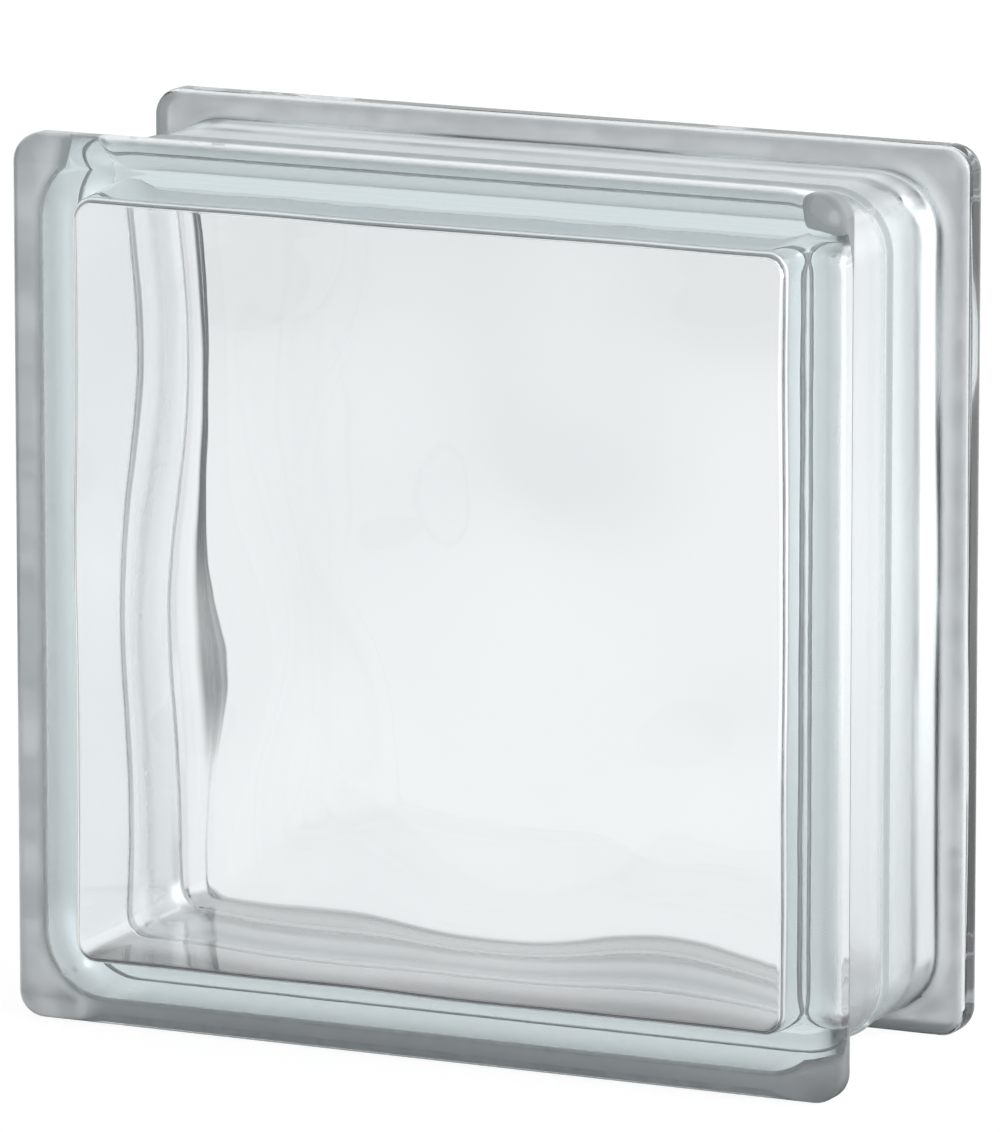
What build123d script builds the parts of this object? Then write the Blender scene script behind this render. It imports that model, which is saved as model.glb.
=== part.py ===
# Pressed glass block with wavy inner faces: one hollow body of clear glass, closed at mid-depth.
# Two equal dishes are pressed, stood mouth to mouth and fused, so the block is a single piece.
# Frame: millimetres, Z up, X across the face, front face towards -Y,
# origin on the floor under the middle of the block.

import os
from math import cos, pi, radians, sin, tan

from build123d import *

# Outside of the block
face_size = 190.0  # width and height over the rims
block_depth = 80.0  # front face to rear face
rim_width = 11.0  # rim, measured along the depth
rim_radius = 6.0  # rounding of the face's edges and of the rim's corners
rim_back_radius = 2.0  # rounding of the rim's edge next to the groove

# Mortar groove round the four sides
groove_depth = 4.8  # below the rim, measured beside the rim
groove_corner_radius = 13.0  # groove floor corner, seen from the front
groove_root = 2.5  # straight blend between the groove floor and the rim
wall_draft = 1.5  # degrees, the floor falls towards the seam

# Fused seam at mid-depth
bead_height = 1.0  # above the groove floor
bead_width = 2.6  # along the depth, at its foot
bead_draft = 30.0  # degrees, slope of the bead's flanks

# Hollow
pane_thickness = 7.2  # front or rear pane, mean over the waves
side_wall = 8.2  # side wall thickness beside the pane
cavity_radius = 5.0  # rounding of the hollow's corners and of its edges before the waves are cut
plunger_draft = 2.0  # degrees, the hollow widens towards the seam

# Waves pressed into the inside of each pane, from side wall to side wall
wave_trains = (
    # swing, length, direction in degrees, phase in degrees
    (0.44, 56.1, 25.5, 52.8),
    (0.34, 41.9, 171.4, 59.1),
    (0.19, 45.4, 92.9, 189.2),
    (0.62, 66.8, 130.7, 294.1),
)
wave_foot = 0.2  # glass between the lowest possible trough and the bottom of the uncut hollow
wave_overlap = 3.0  # how far the wavy surface runs on past the hollow's side walls
wave_step = 10.0  # spacing of the points that carry the wavy surface
wave_tolerance = 0.01  # how closely the surface follows those points

# Values that follow from the sizes above
half_depth = block_depth / 2
wall_length = half_depth - rim_width
floor_at_rim = face_size - 2 * groove_depth
floor_at_seam = floor_at_rim - 2 * wall_length * tan(radians(wall_draft))
root_blend = min(groove_root, 0.95 * (groove_depth - rim_back_radius))
bead_size = floor_at_seam + 2 * bead_height
wave_lift = wave_foot + sum(swing for swing, length, direction, phase in wave_trains)
cavity_at_pane = floor_at_rim - 2 * side_wall
cavity_length = half_depth - pane_thickness + wave_lift
cavity_at_seam = cavity_at_pane + 2 * cavity_length * tan(radians(plunger_draft))
wave_field = cavity_at_pane + 2 * wave_overlap
seam_plane = Plane(origin=(0, 0, face_size / 2), x_dir=(1, 0, 0), z_dir=(0, -1, 0))


def wave_height(across, up):
    """Height of the waves above the mean inside of the pane."""
    height = 0.0
    for swing, length, direction, phase in wave_trains:
        along = across * cos(radians(direction)) + up * sin(radians(direction))
        height += swing * sin(2 * pi * along / length + radians(phase))
    return height


def wavy_face():
    """Wavy inside of the front pane, as a smooth surface through points on an even grid."""
    steps = round(wave_field / wave_step)
    places = [wave_field * (step / steps - 0.5) for step in range(steps + 1)]
    rows = []
    for up in places:
        row = []
        for across in places:
            toward_front = half_depth - pane_thickness - wave_height(across, up)
            row.append(seam_plane.from_local_coords((across, up, toward_front)))
        rows.append(row)
    return Face.make_surface_from_array_of_points(rows, tol=wave_tolerance, min_deg=3, max_deg=3)


# Plunger that presses the hollow of one dish, its nose cut to the waves
with BuildPart() as plunger:
    with BuildSketch(seam_plane):
        Rectangle(cavity_at_seam, cavity_at_seam)
    extrude(amount=cavity_length)
    sides = plunger.faces().filter_by(Axis.Y, reverse=True)
    draft(sides, neutral_plane=seam_plane, angle=plunger_draft)
    nose_edges, corner_edges = plunger.edges().group_by(Axis.Y)[:2]
    fillet(nose_edges + corner_edges, radius=cavity_radius)
    extrude(wavy_face(), amount=3 * wave_lift, dir=(0, -1, 0), mode=Mode.SUBTRACT)

# Half of the fused bead round the seam
with BuildPart() as bead:
    with BuildSketch(seam_plane):
        RectangleRounded(bead_size, bead_size, groove_corner_radius + bead_height)
    extrude(amount=bead_width / 2)
    sides = bead.faces().filter_by(Axis.Y, reverse=True)
    draft(sides, neutral_plane=seam_plane, angle=bead_draft)

# One pressed dish, open at the seam: side wall, rim, bead and wavy hollow
with BuildPart() as dish:
    with BuildSketch(seam_plane):
        RectangleRounded(floor_at_seam, floor_at_seam, groove_corner_radius)
    extrude(amount=wall_length)
    sides = dish.faces().filter_by(Axis.Y, reverse=True)
    draft(sides, neutral_plane=seam_plane, angle=-wall_draft)
    with BuildSketch(seam_plane.offset(wall_length)):
        Rectangle(face_size, face_size)
    extrude(amount=rim_width)
    face_edges = dish.edges().group_by(Axis.Y)[0]
    rim_corners = dish.edges().filter_by(Axis.Y)
    fillet(face_edges + rim_corners, radius=rim_radius)
    rim_back = dish.faces().filter_by(Axis.Y).sort_by(Axis.Y)[1]
    fillet(rim_back.outer_wire().edges(), radius=rim_back_radius)
    rim_back = dish.faces().filter_by(Axis.Y).sort_by(Axis.Y)[1]
    chamfer(rim_back.inner_wires()[0].edges(), length=root_blend)
    add(bead.part)
    add(plunger.part, mode=Mode.SUBTRACT)

# The finished block, two dishes fused mouth to mouth
with BuildPart() as glass_block:
    add(dish.part)
    add(dish.part, rotation=(0, 0, 180))

glass_block.part.label = "glass_block"

os.makedirs("parts", exist_ok=True)
export_step(glass_block.part, "parts/glass_block.step")
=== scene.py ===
"""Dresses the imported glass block: clear pressed glass with wavy inner faces, in a plain white studio."""

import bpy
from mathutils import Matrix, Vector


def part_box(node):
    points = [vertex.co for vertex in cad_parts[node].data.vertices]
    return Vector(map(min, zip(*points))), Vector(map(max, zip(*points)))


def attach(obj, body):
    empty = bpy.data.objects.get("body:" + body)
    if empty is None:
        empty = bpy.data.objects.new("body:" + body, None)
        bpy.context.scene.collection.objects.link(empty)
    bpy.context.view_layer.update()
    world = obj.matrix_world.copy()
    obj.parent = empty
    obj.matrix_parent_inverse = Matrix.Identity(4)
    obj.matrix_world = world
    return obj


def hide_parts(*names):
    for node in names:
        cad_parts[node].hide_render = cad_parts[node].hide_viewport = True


bl_info = {
    "name": "Glass Block",
    "version": (1, 0, 0),
    "blender": (4, 5, 0),
    "location": "View3D > Sidebar > Glass Block",
    "description": "Builds a hollow pressed glass block with wavy panes and a white studio around it",
    "category": "Object",
}

from math import atan2, cos, pi, radians, sin, sqrt, tan

import bmesh
import bpy
from bpy.props import FloatProperty, FloatVectorProperty, PointerProperty
from mathutils import Matrix, Vector

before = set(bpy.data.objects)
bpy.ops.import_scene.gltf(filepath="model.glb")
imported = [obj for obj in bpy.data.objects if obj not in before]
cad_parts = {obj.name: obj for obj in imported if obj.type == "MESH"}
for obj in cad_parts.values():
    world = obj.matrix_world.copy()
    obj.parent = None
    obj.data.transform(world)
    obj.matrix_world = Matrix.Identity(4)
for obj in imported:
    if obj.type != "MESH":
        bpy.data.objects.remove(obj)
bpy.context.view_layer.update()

MM = 0.001
NODE = "glass_block"
BLOCK_LOW, BLOCK_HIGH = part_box(NODE)
FACE_SIZE = BLOCK_HIGH[0] - BLOCK_LOW[0]
BLOCK_DEPTH = BLOCK_HIGH[1] - BLOCK_LOW[1]

# Wave trains of a pane: height, length, direction and phase, in millimetres and degrees
WAVE_TRAINS = (
    (0.44, 56.1, 25.5, 52.8),
    (0.34, 41.9, 171.4, 59.1),
    (0.19, 45.4, 92.9, 189.2),
    (0.62, 66.8, 130.7, 294.1),
)

# Fineness of the mesh
FACE_GRID = 40  # squares along a side of the smooth outer faces
WAVE_GRID = 88  # squares along a side of the wavy panes
OUTSIDE_CORNER_STEPS = 16
HOLLOW_CORNER_STEPS = 12
RIM_STEPS = 14
RIM_FIRST_TURN = radians(2)  # small first step, which keeps the face flat up to its border
RIM_BACK_STEPS = 8
ROOT_STEPS = 10
BEAD_STEPS = 10
BORDER_STEPS = 4
PANE_EDGE_STEPS = 8
BLEND_STEPS = 10
WALL_SHARES = (0.98, 0.75, 0.5, 0.25, 0.02, 0.0)  # loops of the hollow's wall, from its blend to the seam
BEAD_CROWN = 1.4  # above one, the bead has a narrow crown and a wide soft foot
SHARP = 0.02 * MM  # corner radius that stands for a sharp corner
HOLD = 0.25 * MM  # distance of a holding loop from the end of a rounding
STEP = 0.02 * MM  # least depth between two outlines, so that they bridge the right way round
MERGE = 0.05 * MM  # points nearer than this become one

# Soft limits of the satin: from the hollow's wall outwards, from the rim's flank, and from the seam
SKIN_LIMITS = (3.5 * MM, 5.0 * MM)
GROOVE_LIMITS = (0.9 * MM, 0.3 * MM)
FLANK_LIMITS = (-3.6 * MM, -1.4 * MM)
SEAM_LIMITS = (2.0 * MM, 1.0 * MM)
CLOUD_LIMITS = (0.3, 0.7)  # noise values where the satin starts to thin and where it is thinnest

# Directions in the studio: away from its dark sector, and towards its bright side and its two light panels
AWAY_FROM_DARK = (0.966, -0.259, 0.0)
TOWARDS_BRIGHT = (0.643, 0.766, 0.0)
TOWARDS_PANEL = (0.5, 0.866, 0.0)
TOWARDS_SOFTBOX = (0.94, -0.07, 0.334)

# Soft edges in the surroundings, as cosines of the angle from those directions and from straight up
DARK_EDGE = (-0.975, -0.935)
BRIGHT_EDGE = (-0.3, 0.25)
PANEL_EDGE = (0.75, 0.95)
SOFTBOX_EDGE = (0.84, 0.96)
ZENITH_EDGE = (0.5, 0.9)

# Floor, in metres: where the dark sector, the panel's light and the far floor set in
FLOOR_HALF = 8.0
DARK_REACH = (0.18, 0.42)
PANEL_REACH = (0.25, 0.6)
FAR_REACH = (0.2, 1.1)
SHADE_EDGE = (-5 * MM, 10 * MM)  # soft edge of the shade under the block, from the block's sides outwards
REAR_EDGE = (-15 * MM, 5 * MM)  # along the depth, where the deep shade under the front ends
FLOOR_GREY = 0.25  # share of light that the floor throws back, which carries the soft shadow
EYE_GLOW = 0.9  # brightness of the floor to the eye before that

# Camera and light paths
SENSOR_WIDTH = 36.0
CAMERA_RANGE = 100.0
GLASS_BOUNCES = 14
GLOSSY_BOUNCES = 6
DIFFUSE_BOUNCES = 2


def length(name, description, millimetres):
    """A length property, stored in metres."""
    return FloatProperty(
        name=name, description=description, default=millimetres * MM, unit="LENGTH", precision=4)


def angle(name, description, degrees):
    """An angle property, stored in radians."""
    return FloatProperty(name=name, description=description, default=radians(degrees), subtype="ANGLE")


def factor(name, description, value):
    """A plain number property."""
    return FloatProperty(name=name, description=description, default=value, precision=4)


def colour(name, description, value):
    """A colour property."""
    return FloatVectorProperty(
        name=name, description=description, default=value, subtype="COLOR", size=3, min=0.0, max=1.0)


class GlassBlockSizes(bpy.types.PropertyGroup):
    """Sizes of the block's outside, groove, seam, hollow and waves."""

    face_size: length("Face size", "Width and height over the rims", FACE_SIZE / MM)
    block_depth: length("Block depth", "Front face to rear face", BLOCK_DEPTH / MM)
    rim_width: length("Rim width", "Rim, measured along the depth", 11.0)
    rim_radius: length("Rim radius", "Rounding of the face's edges and of the rim's corners", 6.0)
    rim_back_radius: length("Rim back radius", "Rounding of the rim's edge next to the groove", 2.0)
    groove_depth: length("Groove depth", "Mortar groove below the rim", 4.8)
    groove_corner_radius: length("Groove corner", "Groove floor corner at the seam", 13.0)
    groove_root_radius: length("Groove root", "Blend between the groove floor and the rim", 2.5)
    wall_draft: angle("Wall draft", "Fall of the groove floor towards the seam", 1.5)
    bead_height: length("Bead height", "Fused bead above the groove floor", 0.9)
    bead_reach: length("Bead reach", "Half of the bead's width with its soft foot", 2.4)
    pane_thickness: length("Pane thickness", "Front or rear pane, mean over the waves", 7.2)
    side_wall: length("Side wall", "Side wall beside the pane", 8.2)
    cavity_radius: length("Cavity radius", "Rounding of the hollow's corners and edges", 5.0)
    wave_lift: length("Wave lift", "How far the waves stand above the bottom of the uncut hollow", 1.79)
    pane_edge_radius: length("Pane edge", "Rounding where the waves meet the hollow's blend", 0.9)
    plunger_draft: angle("Plunger draft", "Widening of the hollow towards the seam", 2.0)


class GlassFinish(bpy.types.PropertyGroup):
    """Colour and clarity of the glass, its faint swells and the satin in its groove."""

    clarity_colour: colour("Clarity colour", "Colour that thick glass turns to", (0.25, 0.45, 0.5))
    density: factor("Density", "How strongly a metre of glass absorbs", 6.0)
    ior: factor("Refraction", "Index of refraction of soda-lime glass", 1.52)
    swell_scale: factor("Swell scale", "Swells of the pressed surface in a metre", 70.0)
    swell_height: length("Swell height", "Height of the swells of the pressed surface", 0.04)
    satin_colour: colour("Satin colour", "Colour of the satin groove", (0.9, 0.93, 0.94))
    satin_roughness: factor("Satin roughness", "Roughness of the groove floor", 0.27)
    satin_cover: factor("Satin cover", "Share of the light that the groove floor scatters back", 0.02)
    flank_roughness: factor("Flank roughness", "Roughness of the groove's flanks and of its seam", 0.5)
    flank_cover: factor("Flank cover", "Share of the light that the groove's flanks scatter back", 0.85)
    # Darker, denser satin on the seam: partly the fused joint's own grey, partly painted shade along the seam
    # bead.
    seam_joint_and_shade_colour: colour("Seam colour", "Colour of the satin on the seam", (0.68, 0.71, 0.72))
    seam_cover: factor("Seam cover", "Share of the light that the seam scatters back", 0.4)
    cloud_scale: factor("Cloud scale", "Clouds of the uneven satin in a metre", 160.0)
    cloud_depth: factor("Cloud depth", "Share of the satin that its thin places lose", 0.3)


class StudioSetup(bpy.types.PropertyGroup):
    """Camera, surroundings and floor of the white studio."""

    camera_turn: angle("Camera turn", "Camera's way round from the front, to the right", 25.29)
    camera_rise: angle("Camera rise", "Camera's height above the level line", 11.43)
    camera_distance: length("Camera distance", "Camera to the middle of the block", 2500.0)
    lens: factor("Lens", "Focal length in millimetres on the sensor", 378.4)
    aim_right: length("Aim right", "Aim point to the right of the block's middle", 0.84)
    aim_up: length("Aim up", "Aim point above the block's middle", 3.8)
    studio_tint: colour("Studio tint", "Colour of the light that comes through the glass", (0.98, 0.993, 1.0))
    horizon_level: factor("Horizon level", "Brightness of the surroundings at eye height", 1.0)
    zenith_level: factor("Zenith level", "Brightness of the surroundings overhead", 0.3)
    sector_level: factor("Sector level", "Share of that brightness in the dark sector on the left", 0.05)
    front_level: factor("Front level", "Share of that brightness in front of the block", 0.45)
    panel_gain: factor("Panel gain", "Extra brightness of the light panel at the back right", 0.75)
    softbox_gain: factor("Softbox gain", "Extra brightness of the softbox on the right", 1.9)
    floor_level: factor("Floor level", "Brightness of the near floor seen through the glass", 0.81)
    far_level: factor("Far level", "Brightness of the far floor seen through the glass", 0.69)
    under_level: factor("Under level", "Share of the floor's brightness under the block's rear", 0.55)
    shade_level: factor("Shade level", "Share of the floor's brightness under the block's front", 0.1)


def wave_height(across, up):
    """Height of the pressed waves above the mean inside of a pane."""
    height = 0.0
    for swing, span, direction, phase in WAVE_TRAINS:
        along = across * cos(radians(direction)) + up * sin(radians(direction))
        height += swing * MM * sin(2 * pi * along / (span * MM) + radians(phase))
    return height


def upright(depth, middle):
    """Stands a flat shape up, facing along Y, at a depth and centred on the block's middle."""
    return Matrix.Translation((0, depth, middle)) @ Matrix.Rotation(radians(90), 4, "X")


def section(bm, half, radius, depth, middle, corner_steps, side_cuts):
    """Edges of a rounded square: the outline at one depth, rounded by beveling a square's corners."""
    square = bmesh.ops.create_grid(bm, x_segments=1, y_segments=1, size=half, matrix=upright(depth, middle))
    rounded = bmesh.ops.bevel(
        bm, geom=square["verts"], offset=radius, offset_type="OFFSET", segments=corner_steps, profile=0.5,
        affect="VERTICES", material=-1, clamp_overlap=False)
    face = rounded["verts"][0].link_faces[0]
    sides = [edge for edge in face.edges if edge.calc_length() > half]
    bmesh.ops.subdivide_edges(bm, edges=sides, cuts=side_cuts)
    edges = list(face.edges)
    bmesh.ops.delete(bm, geom=[face], context="FACES_ONLY")
    return edges


def skin(bm, outlines, middle, corner_steps, grid):
    """Bridges a row of outlines (half size, corner radius, depth), with an even grid at each end."""
    last = None
    for half, radius, depth in outlines:
        edges = section(bm, half, radius, depth, middle, corner_steps, grid - 1)
        if last is not None:
            bmesh.ops.bridge_loops(bm, edges=last + edges)
        last = edges
    for half, radius, depth in (outlines[0], outlines[-1]):
        bmesh.ops.create_grid(bm, x_segments=grid, y_segments=grid, size=half, matrix=upright(depth, middle))


def spread(low, high, steps):
    """Even values from low to high, both included."""
    return [low + (high - low) * step / steps for step in range(steps + 1)]


def quarter(steps, first=None):
    """Angles of a quarter turn, its two ends included, with a small first step if one is given."""
    turns = spread(0, radians(90), steps)
    if first is not None:
        turns.insert(1, first)
    return turns


def floor_row(depth, flank, slope, floor_half, floor_corner):
    """Outline of the groove floor at a depth."""
    fall = (flank - abs(depth)) * slope
    return (floor_half - fall, floor_corner - fall, depth)


def outside_outlines(sizes):
    """Outlines of the front half's outside, from the face to the seam."""
    half = sizes.face_size / 2
    deep = sizes.block_depth / 2
    rim, back, root = sizes.rim_radius, sizes.rim_back_radius, sizes.groove_root_radius
    slope = tan(sizes.wall_draft)
    flank = deep - sizes.rim_width
    floor_half = half - sizes.groove_depth
    floor_corner = sizes.groove_corner_radius + flank * slope
    rows = []
    for turn in quarter(RIM_STEPS, first=RIM_FIRST_TURN):
        out = rim * sin(turn)
        rows.append((half - rim + out, max(out, SHARP), -deep + rim - rim * cos(turn)))
    rows.append((half, rim, -deep + rim + HOLD))
    rows.append((half, rim, -flank - STEP - back - HOLD))
    for turn in quarter(RIM_BACK_STEPS):
        drop = back * (1 - cos(turn))
        rows.append((half - drop, rim - drop, -flank - STEP - back + back * sin(turn)))
    for turn in quarter(ROOT_STEPS):
        drop = root * sin(turn)
        rows.append((floor_half + root - drop, floor_corner + root - drop, -flank + root * (1 - cos(turn))))
    rows.append(floor_row(-flank + root + HOLD, flank, slope, floor_half, floor_corner))
    reach = sizes.bead_reach
    rows.append(floor_row(-reach - HOLD, flank, slope, floor_half, floor_corner))
    for depth in spread(-reach, 0, BEAD_STEPS):
        floor = floor_row(depth, flank, slope, floor_half, floor_corner)
        rise = sizes.bead_height * (0.5 + 0.5 * cos(pi * depth / reach)) ** BEAD_CROWN
        rows.append((floor[0] + rise, floor[1] + rise, depth))
    return rows


def hollow_outlines(sizes):
    """Outlines of the hollow's front half: the pane's border and edge, the blend, the wall to the seam."""
    wall_half = sizes.face_size / 2 - sizes.groove_depth - sizes.side_wall
    deep = sizes.block_depth / 2 - sizes.pane_thickness
    radius, edge = sizes.cavity_radius, sizes.pane_edge_radius
    slope = tan(sizes.plunger_draft)
    inner = wall_half - radius
    centre = deep + sizes.wave_lift - radius
    reach = sqrt((radius - edge) ** 2 - (deep - edge - centre) ** 2)
    meet = atan2(reach, deep - edge - centre)
    border_fall = BORDER_STEPS * STEP
    bends = []
    for step in range(BORDER_STEPS + 1):
        bends.append((max(reach * step / BORDER_STEPS, SHARP), deep - STEP * step))
    for turn in spread(0, meet, PANE_EDGE_STEPS)[1:]:
        bends.append((reach + edge * sin(turn), deep - border_fall - edge + edge * cos(turn)))
    for turn in spread(meet, radians(90), BLEND_STEPS)[1:]:
        bends.append((radius * sin(turn), centre - border_fall + radius * cos(turn)))
    rows = [(inner + out + (deep - level) * slope, out, -level) for out, level in bends]
    for share in WALL_SHARES:
        level = centre * share
        rows.append((wall_half + (deep - level) * slope, radius, -level))
    return rows


def mirrored(rows):
    """The front half's outlines followed by the same ones on the rear half."""
    return rows + [(half, radius, -depth) for half, radius, depth in reversed(rows[:-1])]


def build_outside(bm, sizes):
    """Outside skin with both faces, rims, groove and seam bead."""
    middle = sizes.face_size / 2
    skin(bm, mirrored(outside_outlines(sizes)), middle, OUTSIDE_CORNER_STEPS, FACE_GRID)
    bmesh.ops.remove_doubles(bm, verts=bm.verts[:], dist=MERGE)
    bmesh.ops.recalc_face_normals(bm, faces=bm.faces[:])


def build_hollow(bm, sizes):
    """Skin of the sealed hollow: side walls, blends and two wavy panes, facing into the hollow."""
    middle = sizes.face_size / 2
    skin(bm, mirrored(hollow_outlines(sizes)), middle, HOLLOW_CORNER_STEPS, WAVE_GRID)
    straight = sizes.block_depth / 2 - sizes.pane_thickness + sizes.wave_lift - sizes.cavity_radius
    for vert in bm.verts:
        side = 1 if vert.co.y > 0 else -1
        share = min(abs(vert.co.y) / straight, 1.0)
        vert.co.y -= side * share * wave_height(-side * vert.co.x, vert.co.z - middle)
    bmesh.ops.remove_doubles(bm, verts=bm.verts[:], dist=MERGE)
    bmesh.ops.recalc_face_normals(bm, faces=bm.faces[:])
    bmesh.ops.reverse_faces(bm, faces=bm.faces[:])


class NodeBench:
    """Adds and joins the nodes of one material or of the world."""

    def __init__(self, owner):
        owner.use_nodes = True
        self.nodes = owner.node_tree.nodes
        self.links = owner.node_tree.links
        self.nodes.clear()

    def add(self, kind):
        """A new node of a kind."""
        return self.nodes.new(kind)

    def feed(self, value, socket):
        """Joins another node's output to a socket, or sets the socket to a plain value."""
        if isinstance(value, bpy.types.NodeSocket):
            self.links.new(value, socket)
        else:
            socket.default_value = value

    def math(self, operation, *values):
        """Result of a math node."""
        node = self.add("ShaderNodeMath")
        node.operation = operation
        for number, value in enumerate(values):
            self.feed(value, node.inputs[number])
        return node.outputs["Value"]

    def vector(self, operation, *values, result="Vector"):
        """Result of a vector math node."""
        node = self.add("ShaderNodeVectorMath")
        node.operation = operation
        for number, value in enumerate(values):
            self.feed(value, node.inputs[number])
        return node.outputs[result]

    def along(self, direction, axis):
        """How far a direction points along an axis."""
        return self.vector("DOT_PRODUCT", direction, axis, result="Value")

    def split(self, place):
        """The three parts of a place or direction."""
        node = self.add("ShaderNodeSeparateXYZ")
        self.feed(place, node.inputs["Vector"])
        return node.outputs["X"], node.outputs["Y"], node.outputs["Z"]

    def smooth(self, value, limits, result=1.0):
        """Smooth rise from 0 to a result between two limits."""
        node = self.add("ShaderNodeMapRange")
        node.interpolation_type = "SMOOTHSTEP"
        self.feed(value, node.inputs["Value"])
        node.inputs["From Min"].default_value = limits[0]
        node.inputs["From Max"].default_value = limits[1]
        node.inputs["To Max"].default_value = result
        return node.outputs["Result"]

    def blend(self, share, first, second):
        """A colour that goes from the first to the second one by a share."""
        node = self.add("ShaderNodeMix")
        node.data_type = "RGBA"
        self.feed(share, node.inputs["Factor"])
        self.feed(first, node.inputs["A"])
        self.feed(second, node.inputs["B"])
        return node.outputs["Result"]

    def noise(self, place, scale, detail):
        """Soft noise at a place."""
        node = self.add("ShaderNodeTexNoise")
        self.feed(place, node.inputs["Vector"])
        node.inputs["Scale"].default_value = scale
        node.inputs["Detail"].default_value = detail
        return node.outputs["Fac"]


def satin_masks(bench, place, sizes):
    """Masks from the place on the block: the satin groove, its two flanks, and the line of its seam."""
    wall = sizes.face_size / 2 - sizes.groove_depth - sizes.side_wall
    flank = sizes.block_depth / 2 - sizes.rim_width
    right, depth, height = bench.split(place)
    across = bench.math("ABSOLUTE", right)
    up = bench.math("ABSOLUTE", bench.math("SUBTRACT", height, sizes.face_size / 2))
    deep = bench.math("ABSOLUTE", depth)
    outside = bench.smooth(bench.math("MAXIMUM", across, up), [wall + limit for limit in SKIN_LIMITS])
    between = bench.smooth(deep, [flank + limit for limit in GROOVE_LIMITS])
    groove = bench.math("MULTIPLY", outside, between)
    flanks = bench.math("MULTIPLY", groove, bench.smooth(deep, [flank + limit for limit in FLANK_LIMITS]))
    seam = bench.math("MULTIPLY", groove, bench.smooth(deep, SEAM_LIMITS))
    return groove, flanks, seam


def glass_material(finish, sizes):
    """Clear pressed glass with faint swells, tinted where thick, with uneven satin in the mortar groove and a
    grey seam line that is partly painted shade of the seam bead.
    """
    material = bpy.data.materials.new("clear_pressed_glass")
    bench = NodeBench(material)
    output = bench.add("ShaderNodeOutputMaterial")
    shader = bench.add("ShaderNodeBsdfPrincipled")
    place = bench.add("ShaderNodeTexCoord").outputs["Object"]
    groove, flanks, seam = satin_masks(bench, place, sizes)

    # The darker seam satin paints the shade along the seam bead, on top of the joint's own grey.
    satin = bench.blend(seam, (*finish.satin_colour, 1), (*finish.seam_joint_and_shade_colour, 1))
    bench.feed(bench.blend(groove, (1, 1, 1, 1), satin), shader.inputs["Base Color"])

    rougher = finish.flank_roughness - finish.satin_roughness
    rough = bench.math("MULTIPLY", groove, finish.satin_roughness)
    rough = bench.math("MULTIPLY_ADD", bench.math("ADD", flanks, seam), rougher, rough)
    bench.feed(rough, shader.inputs["Roughness"])

    cover = bench.math("MULTIPLY", groove, finish.satin_cover)
    cover = bench.math("MULTIPLY_ADD", flanks, finish.flank_cover - finish.satin_cover, cover)
    cover = bench.math("MULTIPLY_ADD", seam, finish.seam_cover - finish.satin_cover, cover)
    thin = bench.smooth(bench.noise(place, finish.cloud_scale, 2.0), CLOUD_LIMITS, finish.cloud_depth)
    cover = bench.math("MULTIPLY", cover, bench.math("SUBTRACT", 1.0, thin))
    bench.feed(bench.math("SUBTRACT", 1.0, cover), shader.inputs["Transmission Weight"])

    bump = bench.add("ShaderNodeBump")
    bump.inputs["Strength"].default_value = 1.0
    bump.inputs["Distance"].default_value = finish.swell_height
    bench.feed(bench.noise(place, finish.swell_scale, 1.0), bump.inputs["Height"])
    bench.feed(bump.outputs["Normal"], shader.inputs["Normal"])

    shader.inputs["IOR"].default_value = finish.ior
    absorb = bench.add("ShaderNodeVolumeAbsorption")
    absorb.inputs["Color"].default_value = (*finish.clarity_colour, 1)
    absorb.inputs["Density"].default_value = finish.density
    bench.feed(shader.outputs["BSDF"], output.inputs["Surface"])
    bench.feed(absorb.outputs["Volume"], output.inputs["Volume"])
    return material


class GLASSBLOCK_OT_block(bpy.types.Operator):
    """Build the hollow glass block in place of its plain solid"""

    bl_idname = "glassblock.block"
    bl_label = "Glass block"

    def execute(self, context):
        sizes = context.scene.glass_block_sizes
        finish = context.scene.glass_finish
        outside = bmesh.new()
        build_outside(outside, sizes)
        hollow = bmesh.new()
        build_hollow(hollow, sizes)
        mesh = bpy.data.meshes.new("pressed_glass_block")
        hollow.to_mesh(mesh)
        outside.from_mesh(mesh)
        outside.to_mesh(mesh)
        hollow.free()
        outside.free()
        mesh.shade_smooth()
        mesh.materials.append(glass_material(finish, sizes))
        block = bpy.data.objects.new("pressed_glass_block", mesh)
        context.scene.collection.objects.link(block)
        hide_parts(NODE)
        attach(block, "root")
        return {"FINISHED"}


def side_level(bench, direction, axis, edge, least):
    """Level of the surroundings by their direction along an axis: from the least level up to one."""
    rise = bench.smooth(bench.along(direction, axis), edge, 1.0 - least)
    return bench.math("ADD", rise, least)


def panel_level(bench, direction, axis, edge, extra):
    """Level of a light panel in the surroundings: one, and more towards the panel."""
    gain = bench.smooth(bench.along(direction, axis), edge, extra)
    return bench.math("ADD", gain, 1.0)


def eye_white(bench, path, tint):
    """White to the eye, and a tint to all other rays."""
    return bench.blend(path.outputs["Is Camera Ray"], (*tint, 1), (1, 1, 1, 1))


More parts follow.
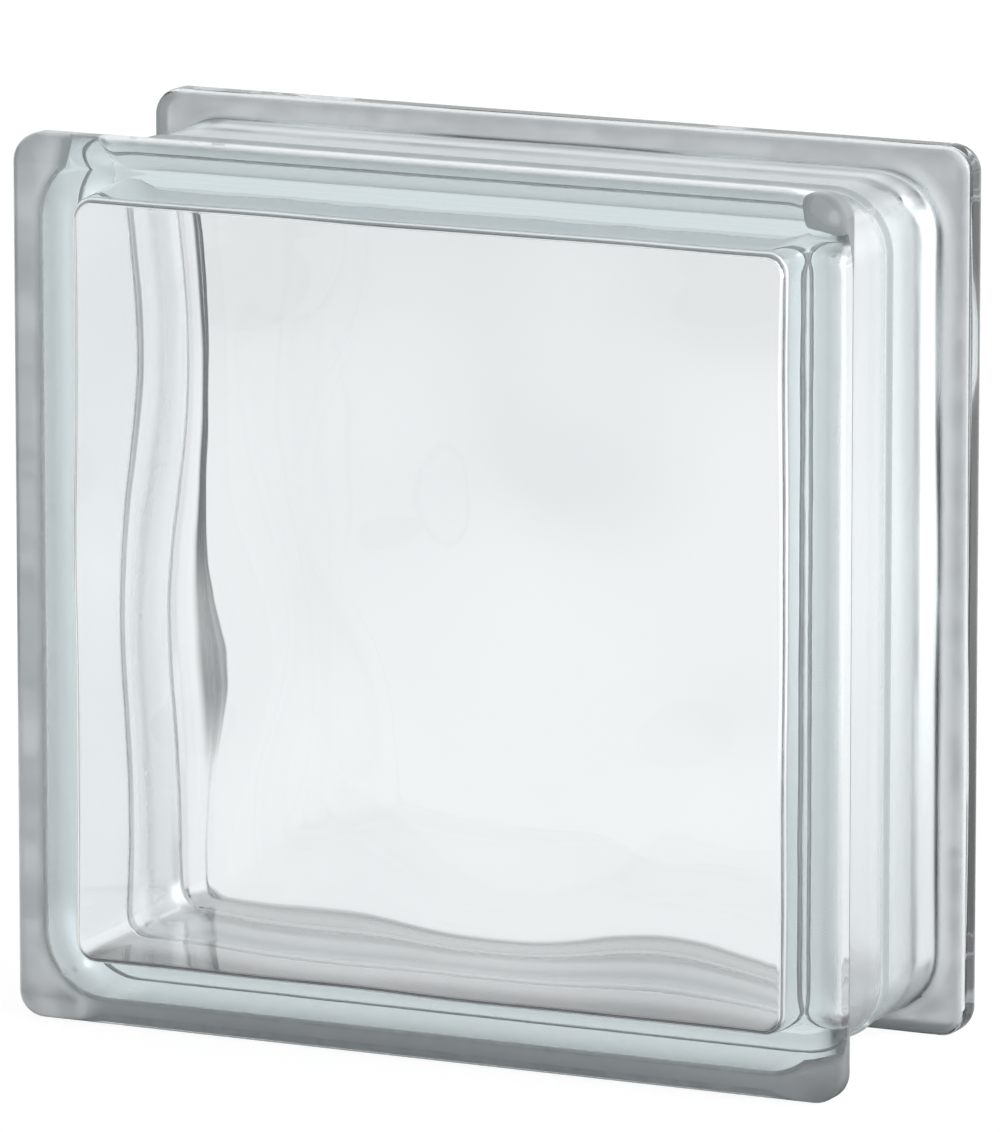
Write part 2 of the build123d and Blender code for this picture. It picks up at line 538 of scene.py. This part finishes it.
def studio_world(scene, studio):
    """Surroundings, white to the eye: dim overhead, in front and in a sector, with two light panels."""
    world = bpy.data.worlds.new("white_studio")
    world.cycles.sampling_method = "NONE"
    scene.world = world
    bench = NodeBench(world)
    output = bench.add("ShaderNodeOutputWorld")
    background = bench.add("ShaderNodeBackground")
    path = bench.add("ShaderNodeLightPath")
    direction = bench.add("ShaderNodeTexCoord").outputs["Generated"]
    sector = side_level(bench, direction, AWAY_FROM_DARK, DARK_EDGE, studio.sector_level)
    front = side_level(bench, direction, TOWARDS_BRIGHT, BRIGHT_EDGE, studio.front_level)
    panel = panel_level(bench, direction, TOWARDS_PANEL, PANEL_EDGE, studio.panel_gain)
    softbox = panel_level(bench, direction, TOWARDS_SOFTBOX, SOFTBOX_EDGE, studio.softbox_gain)
    dimmed = bench.math("MULTIPLY", sector, front)
    around = bench.math("MULTIPLY", dimmed, bench.math("MULTIPLY", panel, softbox))
    height = bench.split(direction)[2]
    loss = bench.smooth(height, ZENITH_EDGE, studio.horizon_level - studio.zenith_level)
    level = bench.math("MULTIPLY", around, bench.math("SUBTRACT", studio.horizon_level, loss))
    seen = bench.math("MAXIMUM", level, path.outputs["Is Camera Ray"])
    bench.feed(seen, background.inputs["Strength"])
    bench.feed(eye_white(bench, path, studio.studio_tint), background.inputs["Color"])
    bench.feed(background.outputs["Background"], output.inputs["Surface"])


def floor_sector(bench, place, studio):
    """Share of the floor's brightness left by the dark sector, which sets in away from the block."""
    from_corner = bench.vector("SUBTRACT", place, (BLOCK_LOW[0], BLOCK_HIGH[1], 0))
    direction = bench.vector("NORMALIZE", from_corner)
    sector = side_level(bench, direction, AWAY_FROM_DARK, DARK_EDGE, studio.sector_level)
    distant = bench.smooth(bench.vector("LENGTH", from_corner, result="Value"), DARK_REACH)
    lost = bench.math("MULTIPLY", distant, bench.math("SUBTRACT", 1.0, sector))
    return bench.math("SUBTRACT", 1.0, lost)


def floor_shade(bench, place, studio):
    """Share of the floor's brightness left by the block's own shade, deepest under its front."""
    right, depth, height = bench.split(place)
    inner, outer = SHADE_EDGE
    across = bench.math("ABSOLUTE", right)
    beside = bench.smooth(across, (BLOCK_HIGH[0] + inner, BLOCK_HIGH[0] + outer))
    before = bench.smooth(depth, (BLOCK_LOW[1] - inner, BLOCK_LOW[1] - outer))
    behind = bench.smooth(depth, (BLOCK_HIGH[1] + inner, BLOCK_HIGH[1] + outer))
    rear = bench.smooth(depth, REAR_EDGE, studio.under_level)
    clear = bench.math("MAXIMUM", bench.math("MAXIMUM", beside, rear), bench.math("MAXIMUM", before, behind))
    return bench.math("MAXIMUM", clear, studio.shade_level)


def floor_brightness(bench, place, studio):
    """Brightness of the floor seen through the glass: lower far away, and higher towards the light panel."""
    away = bench.vector("LENGTH", place, result="Value")
    loss = bench.smooth(away, FAR_REACH, studio.floor_level - studio.far_level)
    level = bench.math("SUBTRACT", studio.floor_level, loss)
    outward = bench.vector("NORMALIZE", place)
    gain = bench.smooth(bench.along(outward, TOWARDS_PANEL), PANEL_EDGE, studio.panel_gain)
    extra = bench.math("MULTIPLY", bench.smooth(away, PANEL_REACH), gain)
    return bench.math("MULTIPLY", level, bench.math("ADD", extra, 1.0))


def floor_material(studio):
    """Pale floor with a soft shadow: white to the eye, and with the studio's darker parts to the glass."""
    material = bpy.data.materials.new("white_sweep")
    material.cycles.emission_sampling = "NONE"
    bench = NodeBench(material)
    output = bench.add("ShaderNodeOutputMaterial")
    diffuse = bench.add("ShaderNodeBsdfDiffuse")
    glow = bench.add("ShaderNodeEmission")
    both = bench.add("ShaderNodeAddShader")
    path = bench.add("ShaderNodeLightPath")
    place = bench.add("ShaderNodeTexCoord").outputs["Object"]
    glass = bench.math("MAXIMUM", path.outputs["Is Glossy Ray"], path.outputs["Is Transmission Ray"])
    sector = floor_sector(bench, place, studio)
    around = bench.math("MULTIPLY", sector, floor_shade(bench, place, studio))
    level = bench.math("MULTIPLY", around, floor_brightness(bench, place, studio))
    shown = bench.math("MULTIPLY", glass, level)
    hidden = bench.math("MULTIPLY", glass, bench.math("SUBTRACT", 1.0, around))
    grey = bench.math("MULTIPLY", bench.math("SUBTRACT", 1.0, hidden), FLOOR_GREY)
    bench.feed(grey, diffuse.inputs["Color"])
    eye = bench.math("MULTIPLY", path.outputs["Is Camera Ray"], EYE_GLOW)
    bench.feed(bench.math("MAXIMUM", eye, shown), glow.inputs["Strength"])
    bench.feed(eye_white(bench, path, studio.studio_tint), glow.inputs["Color"])
    bench.feed(diffuse.outputs["BSDF"], both.inputs[0])
    bench.feed(glow.outputs["Emission"], both.inputs[1])
    bench.feed(both.outputs["Shader"], output.inputs["Surface"])
    return material


def add_floor(scene, studio):
    """Pale level floor under the block."""
    mesh = bpy.data.meshes.new("floor")
    bm = bmesh.new()
    bmesh.ops.create_grid(bm, x_segments=1, y_segments=1, size=FLOOR_HALF)
    bm.to_mesh(mesh)
    bm.free()
    mesh.materials.append(floor_material(studio))
    floor = bpy.data.objects.new("floor", mesh)
    scene.collection.objects.link(floor)


def add_camera(scene, studio, middle):
    """Camera at the photograph's viewing angle, aimed close to the block's middle."""
    camera_data = bpy.data.cameras.new("camera")
    camera_data.sensor_width = SENSOR_WIDTH
    camera_data.lens = studio.lens
    camera_data.clip_end = CAMERA_RANGE
    camera = bpy.data.objects.new("camera", camera_data)
    scene.collection.objects.link(camera)
    turn, rise = studio.camera_turn, studio.camera_rise
    back = Vector((sin(turn) * cos(rise), -cos(turn) * cos(rise), sin(rise)))
    right = Vector((cos(turn), sin(turn), 0))
    up = back.cross(right)
    aim = middle + right * studio.aim_right + up * studio.aim_up
    place = middle + back * studio.camera_distance
    facing = (place - aim).to_track_quat("Z", "Y").to_matrix().to_4x4()
    camera.matrix_world = Matrix.Translation(place) @ facing
    scene.camera = camera


class GLASSBLOCK_OT_studio(bpy.types.Operator):
    """Build the white floor, the surroundings and the camera"""

    bl_idname = "glassblock.studio"
    bl_label = "White studio"

    def execute(self, context):
        scene = context.scene
        studio = scene.glass_studio
        add_floor(scene, studio)
        studio_world(scene, studio)
        add_camera(scene, studio, Vector((0, 0, scene.glass_block_sizes.face_size / 2)))
        scene.view_settings.view_transform = "Standard"
        scene.cycles.max_bounces = GLASS_BOUNCES
        scene.cycles.transmission_bounces = GLASS_BOUNCES
        scene.cycles.glossy_bounces = GLOSSY_BOUNCES
        scene.cycles.diffuse_bounces = DIFFUSE_BOUNCES
        return {"FINISHED"}


class GLASSBLOCK_PT_panel(bpy.types.Panel):
    """Lists the glass block's operators and values"""

    bl_label = "Glass Block"
    bl_idname = "GLASSBLOCK_PT_panel"
    bl_space_type = "VIEW_3D"
    bl_region_type = "UI"
    bl_category = "Glass Block"

    def draw(self, context):
        layout = self.layout
        scene = context.scene
        for operator in (GLASSBLOCK_OT_block, GLASSBLOCK_OT_studio):
            layout.operator(operator.bl_idname)
        for group in (scene.glass_block_sizes, scene.glass_finish, scene.glass_studio):
            box = layout.box()
            for name in group.__annotations__:
                box.prop(group, name)


CLASSES = (
    GlassBlockSizes,
    GlassFinish,
    StudioSetup,
    GLASSBLOCK_OT_block,
    GLASSBLOCK_OT_studio,
    GLASSBLOCK_PT_panel,
)


def register():
    """Registers the classes and hangs their values on the scene."""
    for cls in CLASSES:
        bpy.utils.register_class(cls)
    bpy.types.Scene.glass_block_sizes = PointerProperty(type=GlassBlockSizes)
    bpy.types.Scene.glass_finish = PointerProperty(type=GlassFinish)
    bpy.types.Scene.glass_studio = PointerProperty(type=StudioSetup)


def unregister():
    """Takes the values and the classes off again."""
    del bpy.types.Scene.glass_studio
    del bpy.types.Scene.glass_finish
    del bpy.types.Scene.glass_block_sizes
    for cls in reversed(CLASSES):
        bpy.utils.unregister_class(cls)


def main():
    """Builds the studio and the block."""
    register()
    bpy.ops.glassblock.studio()
    bpy.ops.glassblock.block()


if __name__ == "__main__":
    main()
